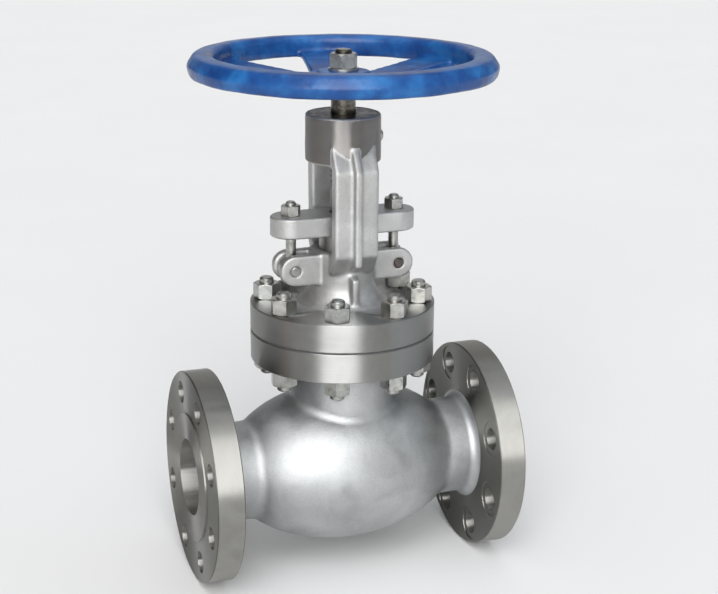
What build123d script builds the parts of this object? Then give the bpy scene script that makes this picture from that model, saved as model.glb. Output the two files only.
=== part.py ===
"""Flanged globe valve, DN 80 (3 in) class 300, outside screw and yoke, shown closed.

Origin at the centre of the inlet raised face, +X along the pipe to the outlet, +Z up the stem.
"""
import math
import os

from build123d import *

# Tolerance for picking edges and corners by size
PICK = 0.01

# Pipe run
FACE_TO_FACE = 318.0
STEM_X = FACE_TO_FACE / 2
RAISED_FACE_R = 63.5
RAISED_FACE_H = 1.6
END_FLANGE_R = 105.0
END_FLANGE_T = 27.0
END_FLANGE_CHAMFER = 1.0
END_FLANGE_BACK = RAISED_FACE_H + END_FLANGE_T
BORE_R = 38.1
END_HOLE_R = 11.0
END_HOLE_PCD = 168.3
END_HOLE_COUNT = 8
SPOT_FACE_R = 17.5
SPOT_FACE_DEPTH = 0.8

# Body casting
NECK_R = 49.0
NECK_FLANGE_FILLET = 9.0
NECK_BELLY_FILLET = 14.0
SHOULDER_X = 97.0
CROWN_X = 64.0
CROWN_END_R = 68.2
BELLY_R = 80.0
CAVITY_LENGTH = 110.0
CAVITY_R = 69.0
RISER_R = 54.0
RISER_BORE_R = 47.6
RISER_FILLET = 10.0
RISER_FLANGE_FILLET = 4.0

# Bridge wall between the inlet and outlet chambers
BRIDGE_WALL = 12.0
BRIDGE_HALF_DECK = 54.0
BRIDGE_HALF_T = 8.0
BRIDGE_FLARE = 5.0
BRIDGE_REACH = 75.0
BRIDGE_FILLET = 5.0
CAVITY_OVERLAP = 3.0

# Body to bonnet joint
JOINT_R = 91.0
JOINT_BOTTOM_Z = 111.7
JOINT_FACE_Z = 140.3
GASKET_T = 1.6
GASKET_R = 90.0
GASKET_BORE_R = 48.2
BONNET_FACE_Z = JOINT_FACE_Z + GASKET_T
BONNET_TOP_Z = 169.2
JOINT_EDGE = 0.8
STUD_PCD = 150.0
STUD_COUNT = 8
STUD_R = 7.0
STUD_HOLE_R = 7.6
STUD_LOW_Z = 90.5
STUD_HIGH_Z = 190.0
STUD_CHAMFER = 1.6
STUD_NUT_AF = 23.0
STUD_NUT_H = 15.2
NUT_FACE_INSET = 0.3
NUT_CHAMFER_ANGLE = 30.0
NUT_BORE_CHAMFER = 0.6
HALF_PITCH = 22.5

# Seat ring
SEAT_R = 46.0
SEAT_FLANGE_R = 49.0
SEAT_TOP_Z = 12.0
SEAT_BORE_R = 38.0
SEAT_CONE = 2.5
SEAT_FLANGE_GAP = 1.5

# Disc, disc nut and stem head
DISC_R = 43.0
DISC_NOSE_R = 37.5
DISC_NOSE_Z = 6.0
DISC_TOP_Z = 30.0
DISC_HUB_R = 28.0
DISC_HUB_Z = 46.0
CONE_GAP = 0.1
DISC_EDGE_IN = 1.5
DISC_NOSE_CHAMFER = 1.0
DISC_TOP_CHAMFER = 2.0
DISC_NUT_PLAY = 0.4
HEAD_R = 18.0
HEAD_CHAMFER = 1.0
HEAD_POCKET_R = 18.5
HEAD_LOW_Z = 20.05
HEAD_HIGH_Z = 33.9
POCKET_Z = 20.0
DISC_NUT_R = 22.0
DISC_NUT_LOW_Z = 34.0
DISC_NUT_HIGH_Z = 54.0
DISC_NUT_AF = 44.0
THREAD_CLEARANCE = 0.05

# Stem
STEM_R = 12.0
STEM_SHANK_R = 14.0
STEM_BACKSEAT_R = 16.0
STEM_BACKSEAT_LOW_Z = 88.0
STEM_BACKSEAT_HIGH_Z = 112.4
STEM_SHOULDER_Z = 370.5
STEM_SQUARE = 16.9
STEM_SQUARE_TOP_Z = 394.0
STEM_TIP_R = 8.0
STEM_TIP_Z = 415.5
STEM_TIP_CHAMFER = 1.5
STEM_CLEARANCE = 0.05

# Backseat bushing and stuffing box
BUSHING_R = 20.0
BUSHING_LOW_Z = 134.5
BUSHING_HIGH_Z = 160.0
BUSHING_CONE = 3.0
BUSHING_PLAY = 0.1
SPIGOT_R = 47.0
SPIGOT_Z = 134.0
SPIGOT_BORE_R = 30.0
SPIGOT_BORE_Z = 150.0
BOX_R = 23.0
BOX_FLOOR_Z = 166.0
BOX_TOP_Z = 222.0
PACKING_LOW_Z = 169.0
PACKING_RING_COUNT = 5
PACKING_TOP_Z = 206.0
PACKING_GAP = 0.05

# Gland
GLAND_R = 22.9
GLAND_BORE_R = 12.4
GLAND_TOP_Z = 238.0
GLAND_CHAMFER = 1.0
GLAND_FLANGE_TOP_Z = 257.6
GLAND_FLANGE_R = 20.0
GLAND_FLANGE_EDGE = 1.2
GLAND_STEM_HOLE_R = 13.0
BOLT_X = 53.0
GLAND_BOLT_HOLE_R = 6.0

# Eyebolts, pins and gland nuts
EYEBOLT_R = 5.0
EYEBOLT_TIP_Z = 271.5
EYEBOLT_CHAMFER = 1.5
EYE_R = 12.0
EYE_HALF_T = 7.0
EYE_CHAMFER = 1.0
PIN_R = 5.0
PIN_HALF_LENGTH = 17.8
PIN_PLAY = 0.05
PIN_CHAMFER = 0.8
EAR_Z = 205.2
EAR_R = 15.0
EAR_INNER_Y = 8.0
EAR_OUTER_Y = 17.0
GLAND_NUT_AF = 17.0
GLAND_NUT_H = 10.4

# Bonnet neck and yoke
NECK_BASE_R = 46.0
NECK_TOP_R = 32.0
NECK_MID_Z = 192.0
NECK_FLARE_IN = 0.35
NECK_RING_PLAY = 0.6
ARM_HALF_W = 22.0
ARM_INNER_Y = 30.0
ARM_OUTER_Y = 42.5
ARM_ROOT_Y = 15.0
ARM_LOW_Z = 203.0
ARM_BEND_Z = 221.5
ARM_BEND_TOP_Z = 304.5
ARM_TOP_Z = 330.0
ARM_TOP_Y = 29.0
ARM_CORNER = 5.0
RIB_HALF_W = 3.5
RIB_ROOT_Y = 30.0
RIB_OUTER_Y = 48.5
RIB_LOW_Z = 204.0
RIB_TOP_Y = 35.0
RIB_NOSE = 9.0
NECK_RIB_Y = 41.0
NECK_RIB_TOP_Z = 198.0
NECK_RIB_NOSE = 4.0
HUB_R = 36.6
HUB_LOW_Z = 308.5
HUB_TOP_Z = 355.0
HUB_CHAMFER = 1.6
YOKE_NUT_R = 21.0
YOKE_NUT_FLANGE_R = 33.0
YOKE_NUT_FLANGE_Z = 348.0
YOKE_NUT_TOP_Z = 354.4
YOKE_NUT_CHAMFER = 1.0
SCREW_Z = 331.0
SCREW_R = 3.0
SCREW_HEAD_R = 6.5
SCREW_HEAD_H = 3.0
SCREW_HEAD_CHAMFER = 1.8
SCREW_TIP_X = 22.0

# Handwheel
WHEEL_R = 148.5
RIM_INNER_R = 122.0
RIM_LOW_Z = 390.5
RIM_DRAFT = 2.5
RIM_CREASE_Z = 401.5
RIM_SHOULDER_R = 142.0
RIM_SHOULDER_Z = 411.5
RIM_RIDGE_R = 128.0
RIM_TOP_Z = 412.5
RIM_INNER_TOP_Z = 409.0
RIM_ROUND = 4.5
WHEEL_HUB_R = 25.0
WHEEL_HUB_TOP_Z = 395.5
WHEEL_HUB_CHAMFER = 2.5
WEB_ROOT_R = 29.0
WEB_TOP_Z = 384.0
WEB_LOW_Z = 375.0
WEB_RIM_R = 125.0
WEB_RIM_TOP_Z = 397.0
WEB_RIM_LOW_Z = 391.0
SPOKE_COUNT = 6
SPOKE_ANGLE = 21.0
SPOKE_HALF_W = 22.5
SPOKE_PITCH = 360 / SPOKE_COUNT
WINDOW_ROUND = 9.0
WINDOW_OUTER_R = 126.0
WINDOW_APEX_R = SPOKE_HALF_W / math.sin(math.radians(SPOKE_PITCH / 2))
WINDOW_HALF_ANGLE = SPOKE_PITCH / 2 - math.degrees(math.asin(SPOKE_HALF_W / WINDOW_OUTER_R))
WINDOW_CORNER_X = WINDOW_OUTER_R * math.cos(math.radians(WINDOW_HALF_ANGLE))
WINDOW_CORNER_Y = WINDOW_OUTER_R * math.sin(math.radians(WINDOW_HALF_ANGLE))
SQUARE_PLAY = 0.1
WASHER_R = 14.5
WASHER_T = 2.3
WHEEL_NUT_AF = 24.0
WHEEL_NUT_H = 14.0

BOLT_SIDES = (("left", STEM_X - BOLT_X), ("right", STEM_X + BOLT_X))
os.makedirs("parts", exist_ok=True)


def save(builder, name):
    """Label a finished piece and write it as its own file."""
    builder.part.label = name
    export_step(builder.part, f"parts/{name}.step")


def half_ellipse(half_length, radius):
    """Upper half of an ellipse on the pipe axis, centred under the stem."""
    with Locations((STEM_X, 0)):
        Ellipse(half_length, radius)
        Rectangle(2 * half_length, radius, align=(Align.CENTER, Align.MAX), mode=Mode.SUBTRACT)


def rod(radius, low_z, high_z, mode=Mode.ADD):
    """Upright cylinder on the stem axis."""
    with Locations((STEM_X, 0, low_z)):
        Cylinder(radius, high_z - low_z, align=(Align.CENTER, Align.CENTER, Align.MIN), mode=mode)


def turned(points):
    """Solid of revolution on the stem axis from (radius, height) points."""
    with BuildSketch(Plane.XZ.shift_origin((STEM_X, 0, 0))) as section:
        with BuildLine():
            Polyline(*points, close=True)
        make_face()
    revolve(section.sketch, axis=Axis((STEM_X, 0, 0), (0, 0, 1)))


def hex_nut(across_flats, height, bore_r):
    """Hexagon nut, lower face at the origin, corners turned off at both ends."""
    with BuildPart(mode=Mode.PRIVATE) as nut:
        corner_r = across_flats / math.sqrt(3)
        face_r = across_flats / 2 - NUT_FACE_INSET
        slope = (corner_r - face_r) * math.tan(math.radians(NUT_CHAMFER_ANGLE))
        with BuildSketch():
            RegularPolygon(across_flats / 2, 6, major_radius=False)
        extrude(amount=height)
        with BuildSketch(Plane.XZ):
            with BuildLine():
                Polyline(
                    (0, 0),
                    (face_r, 0),
                    (corner_r, slope),
                    (corner_r, height - slope),
                    (face_r, height),
                    (0, height),
                    close=True,
                )
            make_face()
        revolve(axis=Axis.Z, mode=Mode.INTERSECT)
        Cylinder(
            bore_r,
            height,
            align=(Align.CENTER, Align.CENTER, Align.MIN),
            mode=Mode.SUBTRACT,
        )
        bore_edges = nut.edges().filter_by(GeomType.CIRCLE).filter_by(
            lambda edge: abs(edge.radius - bore_r) < PICK
        )
        chamfer(bore_edges, NUT_BORE_CHAMFER)
    return nut.part


# Bridge wall: a Z-shaped section, trimmed to the chamber it divides
with BuildPart() as bridge:
    with BuildSketch(Plane.XZ) as bridge_section:
        with BuildLine():
            inner_x = BRIDGE_HALF_DECK
            outer_x = BRIDGE_HALF_DECK + BRIDGE_WALL
            Polyline(
                (STEM_X - outer_x - BRIDGE_FLARE, BRIDGE_REACH),
                (STEM_X - inner_x - BRIDGE_FLARE, BRIDGE_REACH),
                (STEM_X - inner_x, BRIDGE_HALF_T),
                (STEM_X + outer_x, BRIDGE_HALF_T),
                (STEM_X + outer_x + BRIDGE_FLARE, -BRIDGE_REACH),
                (STEM_X + inner_x + BRIDGE_FLARE, -BRIDGE_REACH),
                (STEM_X + inner_x, -BRIDGE_HALF_T),
                (STEM_X - outer_x, -BRIDGE_HALF_T),
                close=True,
            )
        make_face()
        corners = bridge_section.vertices().filter_by(
            lambda corner: abs(abs(corner.Y) - BRIDGE_HALF_T) < PICK
        )
        fillet(corners, BRIDGE_FILLET)
    extrude(amount=BELLY_R, both=True)
    with BuildSketch(Plane.XZ):
        half_ellipse(CAVITY_LENGTH + CAVITY_OVERLAP, CAVITY_R + CAVITY_OVERLAP)
    revolve(axis=Axis.X, mode=Mode.INTERSECT)

# Body casting with both end flanges and the bonnet joint flange
with BuildPart() as valve_body:
    with BuildSketch(Plane.XZ.shift_origin((STEM_X, 0, 0))):
        with BuildLine() as run:
            rim_x = -STEM_X + RAISED_FACE_H
            back_x = -STEM_X + END_FLANGE_BACK
            crown = TangentArc((0, -BELLY_R), (-CROWN_X, -CROWN_END_R), tangent=(-1, 0))
            TangentArc(crown @ 1, (-SHOULDER_X, -NECK_R), tangent=crown % 1)
            Polyline(
                (-SHOULDER_X, -NECK_R),
                (back_x, -NECK_R),
                (back_x, -END_FLANGE_R + END_FLANGE_CHAMFER),
                (back_x - END_FLANGE_CHAMFER, -END_FLANGE_R),
                (rim_x + END_FLANGE_CHAMFER, -END_FLANGE_R),
                (rim_x, -END_FLANGE_R + END_FLANGE_CHAMFER),
                (rim_x, -RAISED_FACE_R),
                (-STEM_X, -RAISED_FACE_R),
                (-STEM_X, 0),
            )
            neck_corners = run.vertices().filter_by(lambda corner: abs(corner.Y + NECK_R) < PICK)
            fillet(neck_corners.sort_by(Axis.X)[0], NECK_FLANGE_FILLET)
            neck_corners = run.vertices().filter_by(lambda corner: abs(corner.Y + NECK_R) < PICK)
            fillet(neck_corners.sort_by(Axis.X)[-1], NECK_BELLY_FILLET)
            mirror(about=Plane.YZ)
            Line((-STEM_X, 0), (STEM_X, 0))
        make_face()
    revolve(axis=Axis.X)
    rod(RISER_R, 0, JOINT_BOTTOM_Z)
    riser_seam = valve_body.edges(Select.LAST).filter_by_position(Axis.Z, BELLY_R / 2, BELLY_R)
    fillet(riser_seam, RISER_FILLET)
    rod(JOINT_R, JOINT_BOTTOM_Z, JOINT_FACE_Z)
    riser_root = valve_body.edges().filter_by(GeomType.CIRCLE).filter_by(
        lambda edge: abs(edge.radius - RISER_R) < PICK and edge.center().Z > BELLY_R
    )
    fillet(riser_root, RISER_FLANGE_FILLET)
    joint_rims = valve_body.edges().filter_by(GeomType.CIRCLE).filter_by(
        lambda edge: abs(edge.radius - JOINT_R) < PICK
    )
    chamfer(joint_rims, JOINT_EDGE)
    with BuildSketch(Plane.XZ):
        half_ellipse(CAVITY_LENGTH, CAVITY_R)
    revolve(axis=Axis.X, mode=Mode.SUBTRACT)
    with BuildSketch(Plane.YZ):
        Circle(BORE_R)
    extrude(amount=FACE_TO_FACE, mode=Mode.SUBTRACT)
    rod(RISER_BORE_R, 0, JOINT_FACE_Z, mode=Mode.SUBTRACT)
    add(bridge.part)
    rod(SEAT_R, -BRIDGE_HALF_T, BRIDGE_HALF_T, mode=Mode.SUBTRACT)
    for start, step in ((0, 1), (FACE_TO_FACE, -1)):
        with BuildSketch(Plane.YZ.offset(start)):
            with PolarLocations(END_HOLE_PCD / 2, END_HOLE_COUNT, start_angle=HALF_PITCH):
                Circle(END_HOLE_R)
        extrude(amount=step * END_FLANGE_BACK, mode=Mode.SUBTRACT)
        with BuildSketch(Plane.YZ.offset(start + step * END_FLANGE_BACK)):
            with PolarLocations(END_HOLE_PCD / 2, END_HOLE_COUNT, start_angle=HALF_PITCH):
                Circle(SPOT_FACE_R)
        extrude(amount=-step * SPOT_FACE_DEPTH, mode=Mode.SUBTRACT)
    with BuildSketch(Plane.XY.offset(JOINT_BOTTOM_Z)):
        with Locations((STEM_X, 0)):
            with PolarLocations(STUD_PCD / 2, STUD_COUNT, start_angle=HALF_PITCH):
                Circle(STUD_HOLE_R)
    extrude(amount=JOINT_FACE_Z - JOINT_BOTTOM_Z, mode=Mode.SUBTRACT)
save(valve_body, "valve_body")

# Seat ring, pressed into the bridge wall
with BuildPart() as seat_ring:
    turned(
        (
            (SEAT_BORE_R, -BRIDGE_HALF_T),
            (SEAT_R, -BRIDGE_HALF_T),
            (SEAT_R, BRIDGE_HALF_T),
            (SEAT_FLANGE_R - SEAT_FLANGE_GAP, BRIDGE_HALF_T),
            (SEAT_FLANGE_R - SEAT_FLANGE_GAP, SEAT_TOP_Z),
            (SEAT_BORE_R + SEAT_CONE, SEAT_TOP_Z),
            (SEAT_BORE_R, SEAT_TOP_Z - SEAT_CONE),
        )
    )
save(seat_ring, "seat_ring")

# Disc with its coned seating edge and the pocket for the stem head
with BuildPart() as disc:
    cone_low_r = SEAT_BORE_R - CONE_GAP
    cone_rise = DISC_R - DISC_EDGE_IN - cone_low_r
    turned(
        (
            (0, DISC_NOSE_Z),
            (DISC_NOSE_R - DISC_NOSE_CHAMFER, DISC_NOSE_Z),
            (DISC_NOSE_R, DISC_NOSE_Z + DISC_NOSE_CHAMFER),
            (cone_low_r, SEAT_TOP_Z - SEAT_CONE),
            (cone_low_r + cone_rise, SEAT_TOP_Z - SEAT_CONE + cone_rise),
            (DISC_R, SEAT_TOP_Z - SEAT_CONE + cone_rise + DISC_EDGE_IN),
            (DISC_R, DISC_TOP_Z - DISC_TOP_CHAMFER),
            (DISC_R - DISC_TOP_CHAMFER, DISC_TOP_Z),
            (DISC_HUB_R, DISC_TOP_Z),
            (DISC_HUB_R, DISC_HUB_Z),
            (DISC_NUT_R + THREAD_CLEARANCE, DISC_HUB_Z),
            (DISC_NUT_R + THREAD_CLEARANCE, DISC_NUT_LOW_Z),
            (HEAD_POCKET_R, DISC_NUT_LOW_Z),
            (HEAD_POCKET_R, POCKET_Z),
            (0, POCKET_Z),
        )
    )
save(disc, "disc")

# Disc nut holding the stem head in the disc
with BuildPart() as disc_nut:
    with BuildSketch(Plane.XY.offset(DISC_HUB_Z)):
        with Locations((STEM_X, 0)):
            RegularPolygon(DISC_NUT_AF / 2, 6, major_radius=False)
    extrude(amount=DISC_NUT_HIGH_Z - DISC_HUB_Z)
    rod(DISC_NUT_R, DISC_NUT_LOW_Z, DISC_HUB_Z)
    rod(STEM_SHANK_R + DISC_NUT_PLAY, DISC_NUT_LOW_Z, DISC_NUT_HIGH_Z, mode=Mode.SUBTRACT)
save(disc_nut, "disc_nut")

# Stem, from the head in the disc to the threaded tip above the handwheel
with BuildPart() as stem:
    turned(
        (
            (0, HEAD_LOW_Z),
            (HEAD_R - HEAD_CHAMFER, HEAD_LOW_Z),
            (HEAD_R, HEAD_LOW_Z + HEAD_CHAMFER),
            (HEAD_R, HEAD_HIGH_Z),
            (STEM_SHANK_R, HEAD_HIGH_Z),
            (STEM_SHANK_R, STEM_BACKSEAT_LOW_Z),
            (STEM_BACKSEAT_R, STEM_BACKSEAT_LOW_Z),
            (STEM_BACKSEAT_R, STEM_BACKSEAT_HIGH_Z - STEM_BACKSEAT_R + STEM_R),
            (STEM_R, STEM_BACKSEAT_HIGH_Z),
            (STEM_R, STEM_SHOULDER_Z),
            (0, STEM_SHOULDER_Z),
        )
    )
    with BuildSketch(Plane.XY.offset(STEM_SHOULDER_Z)):
        with Locations((STEM_X, 0)):
            Rectangle(STEM_SQUARE, STEM_SQUARE)
    extrude(amount=STEM_SQUARE_TOP_Z - STEM_SHOULDER_Z)
    rod(STEM_TIP_R, STEM_SQUARE_TOP_Z, STEM_TIP_Z)
    chamfer(stem.faces().sort_by(Axis.Z)[-1].edges(), STEM_TIP_CHAMFER)
save(stem, "stem")

# Bonnet casting: joint flange, stuffing box, lug pairs, yoke arms and yoke hub
with BuildPart() as bonnet:
    rod(JOINT_R, BONNET_FACE_Z, BONNET_TOP_Z)
    chamfer(bonnet.edges().filter_by(GeomType.CIRCLE), JOINT_EDGE)
    rod(SPIGOT_R, SPIGOT_Z, BONNET_FACE_Z)
    with BuildSketch(Plane.XZ.shift_origin((STEM_X, 0, 0))):
        with BuildLine():
            Line((0, BONNET_FACE_Z), (NECK_BASE_R, BONNET_FACE_Z))
            Line((NECK_BASE_R, BONNET_FACE_Z), (NECK_BASE_R, BONNET_TOP_Z))
            Spline(
                (NECK_BASE_R, BONNET_TOP_Z),
                (NECK_TOP_R, NECK_MID_Z),
                tangents=((-1, NECK_FLARE_IN), (0, 1)),
            )
            Line((NECK_TOP_R, NECK_MID_Z), (NECK_TOP_R, BOX_TOP_Z))
            Line((NECK_TOP_R, BOX_TOP_Z), (0, BOX_TOP_Z))
            Line((0, BOX_TOP_Z), (0, BONNET_FACE_Z))
        make_face()
    revolve(axis=Axis((STEM_X, 0, 0), (0, 0, 1)))
    chamfer(bonnet.faces().sort_by(Axis.Z)[-1].edges(), JOINT_EDGE)
    rod(HUB_R, HUB_LOW_Z, HUB_TOP_Z)
    chamfer(bonnet.faces().sort_by(Axis.Z)[-1].edges(), HUB_CHAMFER)
    for side in (-1, 1):
        with BuildSketch(Plane.YZ.offset(STEM_X)) as arm:
            with BuildLine():
                Polyline(
                    (side * ARM_ROOT_Y, ARM_LOW_Z),
                    (side * ARM_INNER_Y, ARM_LOW_Z),
                    (side * ARM_OUTER_Y, ARM_BEND_Z),
                    (side * ARM_OUTER_Y, ARM_BEND_TOP_Z),
                    (side * ARM_TOP_Y, ARM_TOP_Z),
                    (side * ARM_ROOT_Y, ARM_TOP_Z),
                    (side * ARM_ROOT_Y, HUB_LOW_Z),
                    (side * ARM_INNER_Y, HUB_LOW_Z),
                    (side * ARM_INNER_Y, BOX_TOP_Z),
                    (side * ARM_ROOT_Y, BOX_TOP_Z),
                    close=True,
                )
            make_face()
            arm_corners = arm.vertices().filter_by(
                lambda corner: abs(corner.X) > ARM_INNER_Y - PICK
                and ARM_LOW_Z + PICK < corner.Y < ARM_TOP_Z - PICK
            )
            fillet(arm_corners, ARM_CORNER)
        extrude(amount=ARM_HALF_W, both=True)
        with BuildSketch(Plane.YZ.offset(STEM_X)):
            with BuildLine():
                Polyline(
                    (side * RIB_ROOT_Y, RIB_LOW_Z),
                    (side * RIB_OUTER_Y, RIB_LOW_Z + RIB_NOSE),
                    (side * RIB_OUTER_Y, ARM_BEND_TOP_Z),
                    (side * RIB_TOP_Y, ARM_TOP_Z),
                    (side * RIB_ROOT_Y, ARM_TOP_Z),
                    close=True,
                )
            make_face()
        extrude(amount=RIB_HALF_W, both=True)
        with BuildSketch(Plane.YZ.offset(STEM_X)):
            with BuildLine():
                Polyline(
                    (side * RIB_ROOT_Y, BONNET_TOP_Z),
                    (side * NECK_RIB_Y, BONNET_TOP_Z),
                    (side * NECK_RIB_Y, NECK_RIB_TOP_Z),
                    (side * RIB_ROOT_Y, NECK_RIB_TOP_Z + NECK_RIB_NOSE),
                    close=True,
                )
            make_face()
        extrude(amount=RIB_HALF_W, both=True)
        with BuildSketch(Plane.XZ.offset(-side * EAR_OUTER_Y)):
            with Locations((STEM_X, EAR_Z)):
                SlotCenterToCenter(2 * BOLT_X, 2 * EAR_R)
            with Locations((STEM_X - BOLT_X, EAR_Z), (STEM_X + BOLT_X, EAR_Z)):
                Circle(PIN_R, mode=Mode.SUBTRACT)
        extrude(amount=side * (EAR_OUTER_Y - EAR_INNER_Y))
    rod(BOX_R, BOX_FLOOR_Z, BOX_TOP_Z + ARM_CORNER, mode=Mode.SUBTRACT)
    rod(BUSHING_R, SPIGOT_Z, BUSHING_HIGH_Z, mode=Mode.SUBTRACT)
    rod(STEM_R + NECK_RING_PLAY, SPIGOT_Z, BOX_FLOOR_Z, mode=Mode.SUBTRACT)
    rod(SPIGOT_BORE_R, SPIGOT_Z, SPIGOT_BORE_Z, mode=Mode.SUBTRACT)
    rod(YOKE_NUT_R, HUB_LOW_Z, HUB_TOP_Z, mode=Mode.SUBTRACT)
    rod(YOKE_NUT_FLANGE_R, YOKE_NUT_FLANGE_Z, HUB_TOP_Z, mode=Mode.SUBTRACT)
    with Locations((STEM_X + SCREW_TIP_X, 0, SCREW_Z)):
        Cylinder(
            SCREW_R,
            HUB_R,
            rotation=(0, 90, 0),
            align=(Align.CENTER, Align.CENTER, Align.MIN),
            mode=Mode.SUBTRACT,
        )
    with BuildSketch(Plane.XY.offset(BONNET_FACE_Z)):
        with Locations((STEM_X, 0)):
            with PolarLocations(STUD_PCD / 2, STUD_COUNT, start_angle=HALF_PITCH):
                Circle(STUD_HOLE_R)
    extrude(amount=BONNET_TOP_Z - BONNET_FACE_Z, mode=Mode.SUBTRACT)
save(bonnet, "bonnet")

# Sheet gasket between the body and bonnet flanges
with BuildPart() as bonnet_gasket:
    with BuildSketch(Plane.XY.offset(JOINT_FACE_Z)):
        with Locations((STEM_X, 0)):
            Circle(GASKET_R)
            Circle(GASKET_BORE_R, mode=Mode.SUBTRACT)
            with PolarLocations(STUD_PCD / 2, STUD_COUNT, start_angle=HALF_PITCH):
                Circle(STUD_HOLE_R, mode=Mode.SUBTRACT)
    extrude(amount=GASKET_T)
save(bonnet_gasket, "bonnet_gasket")

# Eight studs through both joint flanges
with BuildPart() as bonnet_studs:
    with Locations((STEM_X, 0, STUD_LOW_Z)):
        with PolarLocations(STUD_PCD / 2, STUD_COUNT, start_angle=HALF_PITCH):
            Cylinder(
                STUD_R,
                STUD_HIGH_Z - STUD_LOW_Z,
                align=(Align.CENTER, Align.CENTER, Align.MIN),
            )
    chamfer(bonnet_studs.edges().filter_by(GeomType.CIRCLE), STUD_CHAMFER)
save(bonnet_studs, "bonnet_studs")

# Nuts above and below the joint
stud_nut = hex_nut(STUD_NUT_AF, STUD_NUT_H, STUD_R + THREAD_CLEARANCE)
for nut_name, nut_z in (
    ("bonnet_nuts_upper", BONNET_TOP_Z),
    ("bonnet_nuts_lower", JOINT_BOTTOM_Z - STUD_NUT_H),
):
    with BuildPart() as nut_set:
        with Locations((STEM_X, 0, nut_z)):
            with PolarLocations(STUD_PCD / 2, STUD_COUNT, start_angle=HALF_PITCH):
                add(stud_nut)
    save(nut_set, nut_name)

# Backseat bushing at the foot of the bonnet bore
with BuildPart() as backseat_bushing:
    turned(
        (
            (STEM_R + BUSHING_PLAY + BUSHING_CONE, BUSHING_LOW_Z),
            (BUSHING_R, BUSHING_LOW_Z),
            (BUSHING_R, BUSHING_HIGH_Z),
            (STEM_R + BUSHING_PLAY, BUSHING_HIGH_Z),
            (STEM_R + BUSHING_PLAY, BUSHING_LOW_Z + BUSHING_CONE),
        )
    )
save(backseat_bushing, "backseat_bushing")

# Packing set: square rings stacked in the stuffing box on a bottom washer
with BuildPart() as packing_washer:
    rod(BOX_R, BOX_FLOOR_Z, PACKING_LOW_Z)
    rod(STEM_R + BUSHING_PLAY, BOX_FLOOR_Z, PACKING_LOW_Z, mode=Mode.SUBTRACT)
save(packing_washer, "packing_washer")

with BuildPart() as packing_rings:
    ring_pitch = (PACKING_TOP_Z - PACKING_LOW_Z) / PACKING_RING_COUNT
    for ring in range(PACKING_RING_COUNT):
        ring_low_z = PACKING_LOW_Z + ring * ring_pitch
        rod(BOX_R - PACKING_GAP, ring_low_z, ring_low_z + ring_pitch - PACKING_GAP)
    rod(STEM_R + STEM_CLEARANCE, PACKING_LOW_Z, PACKING_TOP_Z, mode=Mode.SUBTRACT)
save(packing_rings, "packing_rings")

# Gland bushing that presses on the packing
with BuildPart() as gland:
    rod(GLAND_R, PACKING_TOP_Z, GLAND_TOP_Z)
    chamfer(gland.edges().filter_by(GeomType.CIRCLE), GLAND_CHAMFER)
    rod(GLAND_BORE_R, PACKING_TOP_Z, GLAND_TOP_Z, mode=Mode.SUBTRACT)
save(gland, "gland")

# Gland flange, a round-ended bar that the eyebolts pull down
with BuildPart() as gland_flange:
    with BuildSketch(Plane.XY.offset(GLAND_TOP_Z)):
        with Locations((STEM_X, 0)):
            SlotCenterToCenter(2 * BOLT_X, 2 * GLAND_FLANGE_R)
    extrude(amount=GLAND_FLANGE_TOP_Z - GLAND_TOP_Z)
    chamfer(gland_flange.faces().filter_by(Axis.Z).edges(), GLAND_FLANGE_EDGE)
    with BuildSketch(Plane.XY.offset(GLAND_TOP_Z)):
        with Locations((STEM_X, 0)):
            Circle(GLAND_STEM_HOLE_R)
        with Locations((STEM_X - BOLT_X, 0), (STEM_X + BOLT_X, 0)):
            Circle(GLAND_BOLT_HOLE_R)
    extrude(amount=GLAND_FLANGE_TOP_Z - GLAND_TOP_Z, mode=Mode.SUBTRACT)
save(gland_flange, "gland_flange")

# Eyebolts, their pins in the bonnet lugs, and the gland nuts, one set on each side
gland_nut = hex_nut(GLAND_NUT_AF, GLAND_NUT_H, EYEBOLT_R + THREAD_CLEARANCE)
for side_name, bolt_x in BOLT_SIDES:
    with BuildPart() as eyebolt:
        with BuildSketch(Plane.XZ.offset(-EYE_HALF_T)):
            with Locations((bolt_x, EAR_Z)):
                Circle(EYE_R)
        extrude(amount=2 * EYE_HALF_T)
        chamfer(eyebolt.edges().filter_by(GeomType.CIRCLE), EYE_CHAMFER)
        with Locations((bolt_x, 0, EAR_Z)):
            Cylinder(
                EYEBOLT_R,
                EYEBOLT_TIP_Z - EAR_Z,
                align=(Align.CENTER, Align.CENTER, Align.MIN),
            )
        chamfer(eyebolt.faces().sort_by(Axis.Z)[-1].edges(), EYEBOLT_CHAMFER)
        with BuildSketch(Plane.XZ.offset(-EYE_HALF_T)):
            with Locations((bolt_x, EAR_Z)):
                Circle(PIN_R + PIN_PLAY)
        extrude(amount=2 * EYE_HALF_T, mode=Mode.SUBTRACT)
    save(eyebolt, f"eyebolt_{side_name}")

    with BuildPart() as eyebolt_pin:
        with BuildSketch(Plane.XZ.offset(-PIN_HALF_LENGTH)):
            with Locations((bolt_x, EAR_Z)):
                Circle(PIN_R)
        extrude(amount=2 * PIN_HALF_LENGTH)
        chamfer(eyebolt_pin.edges().filter_by(GeomType.CIRCLE), PIN_CHAMFER)
    save(eyebolt_pin, f"eyebolt_pin_{side_name}")

    with BuildPart() as placed_gland_nut:
        with Locations((bolt_x, 0, GLAND_FLANGE_TOP_Z)):
            add(gland_nut)
    save(placed_gland_nut, f"gland_nut_{side_name}")

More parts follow.
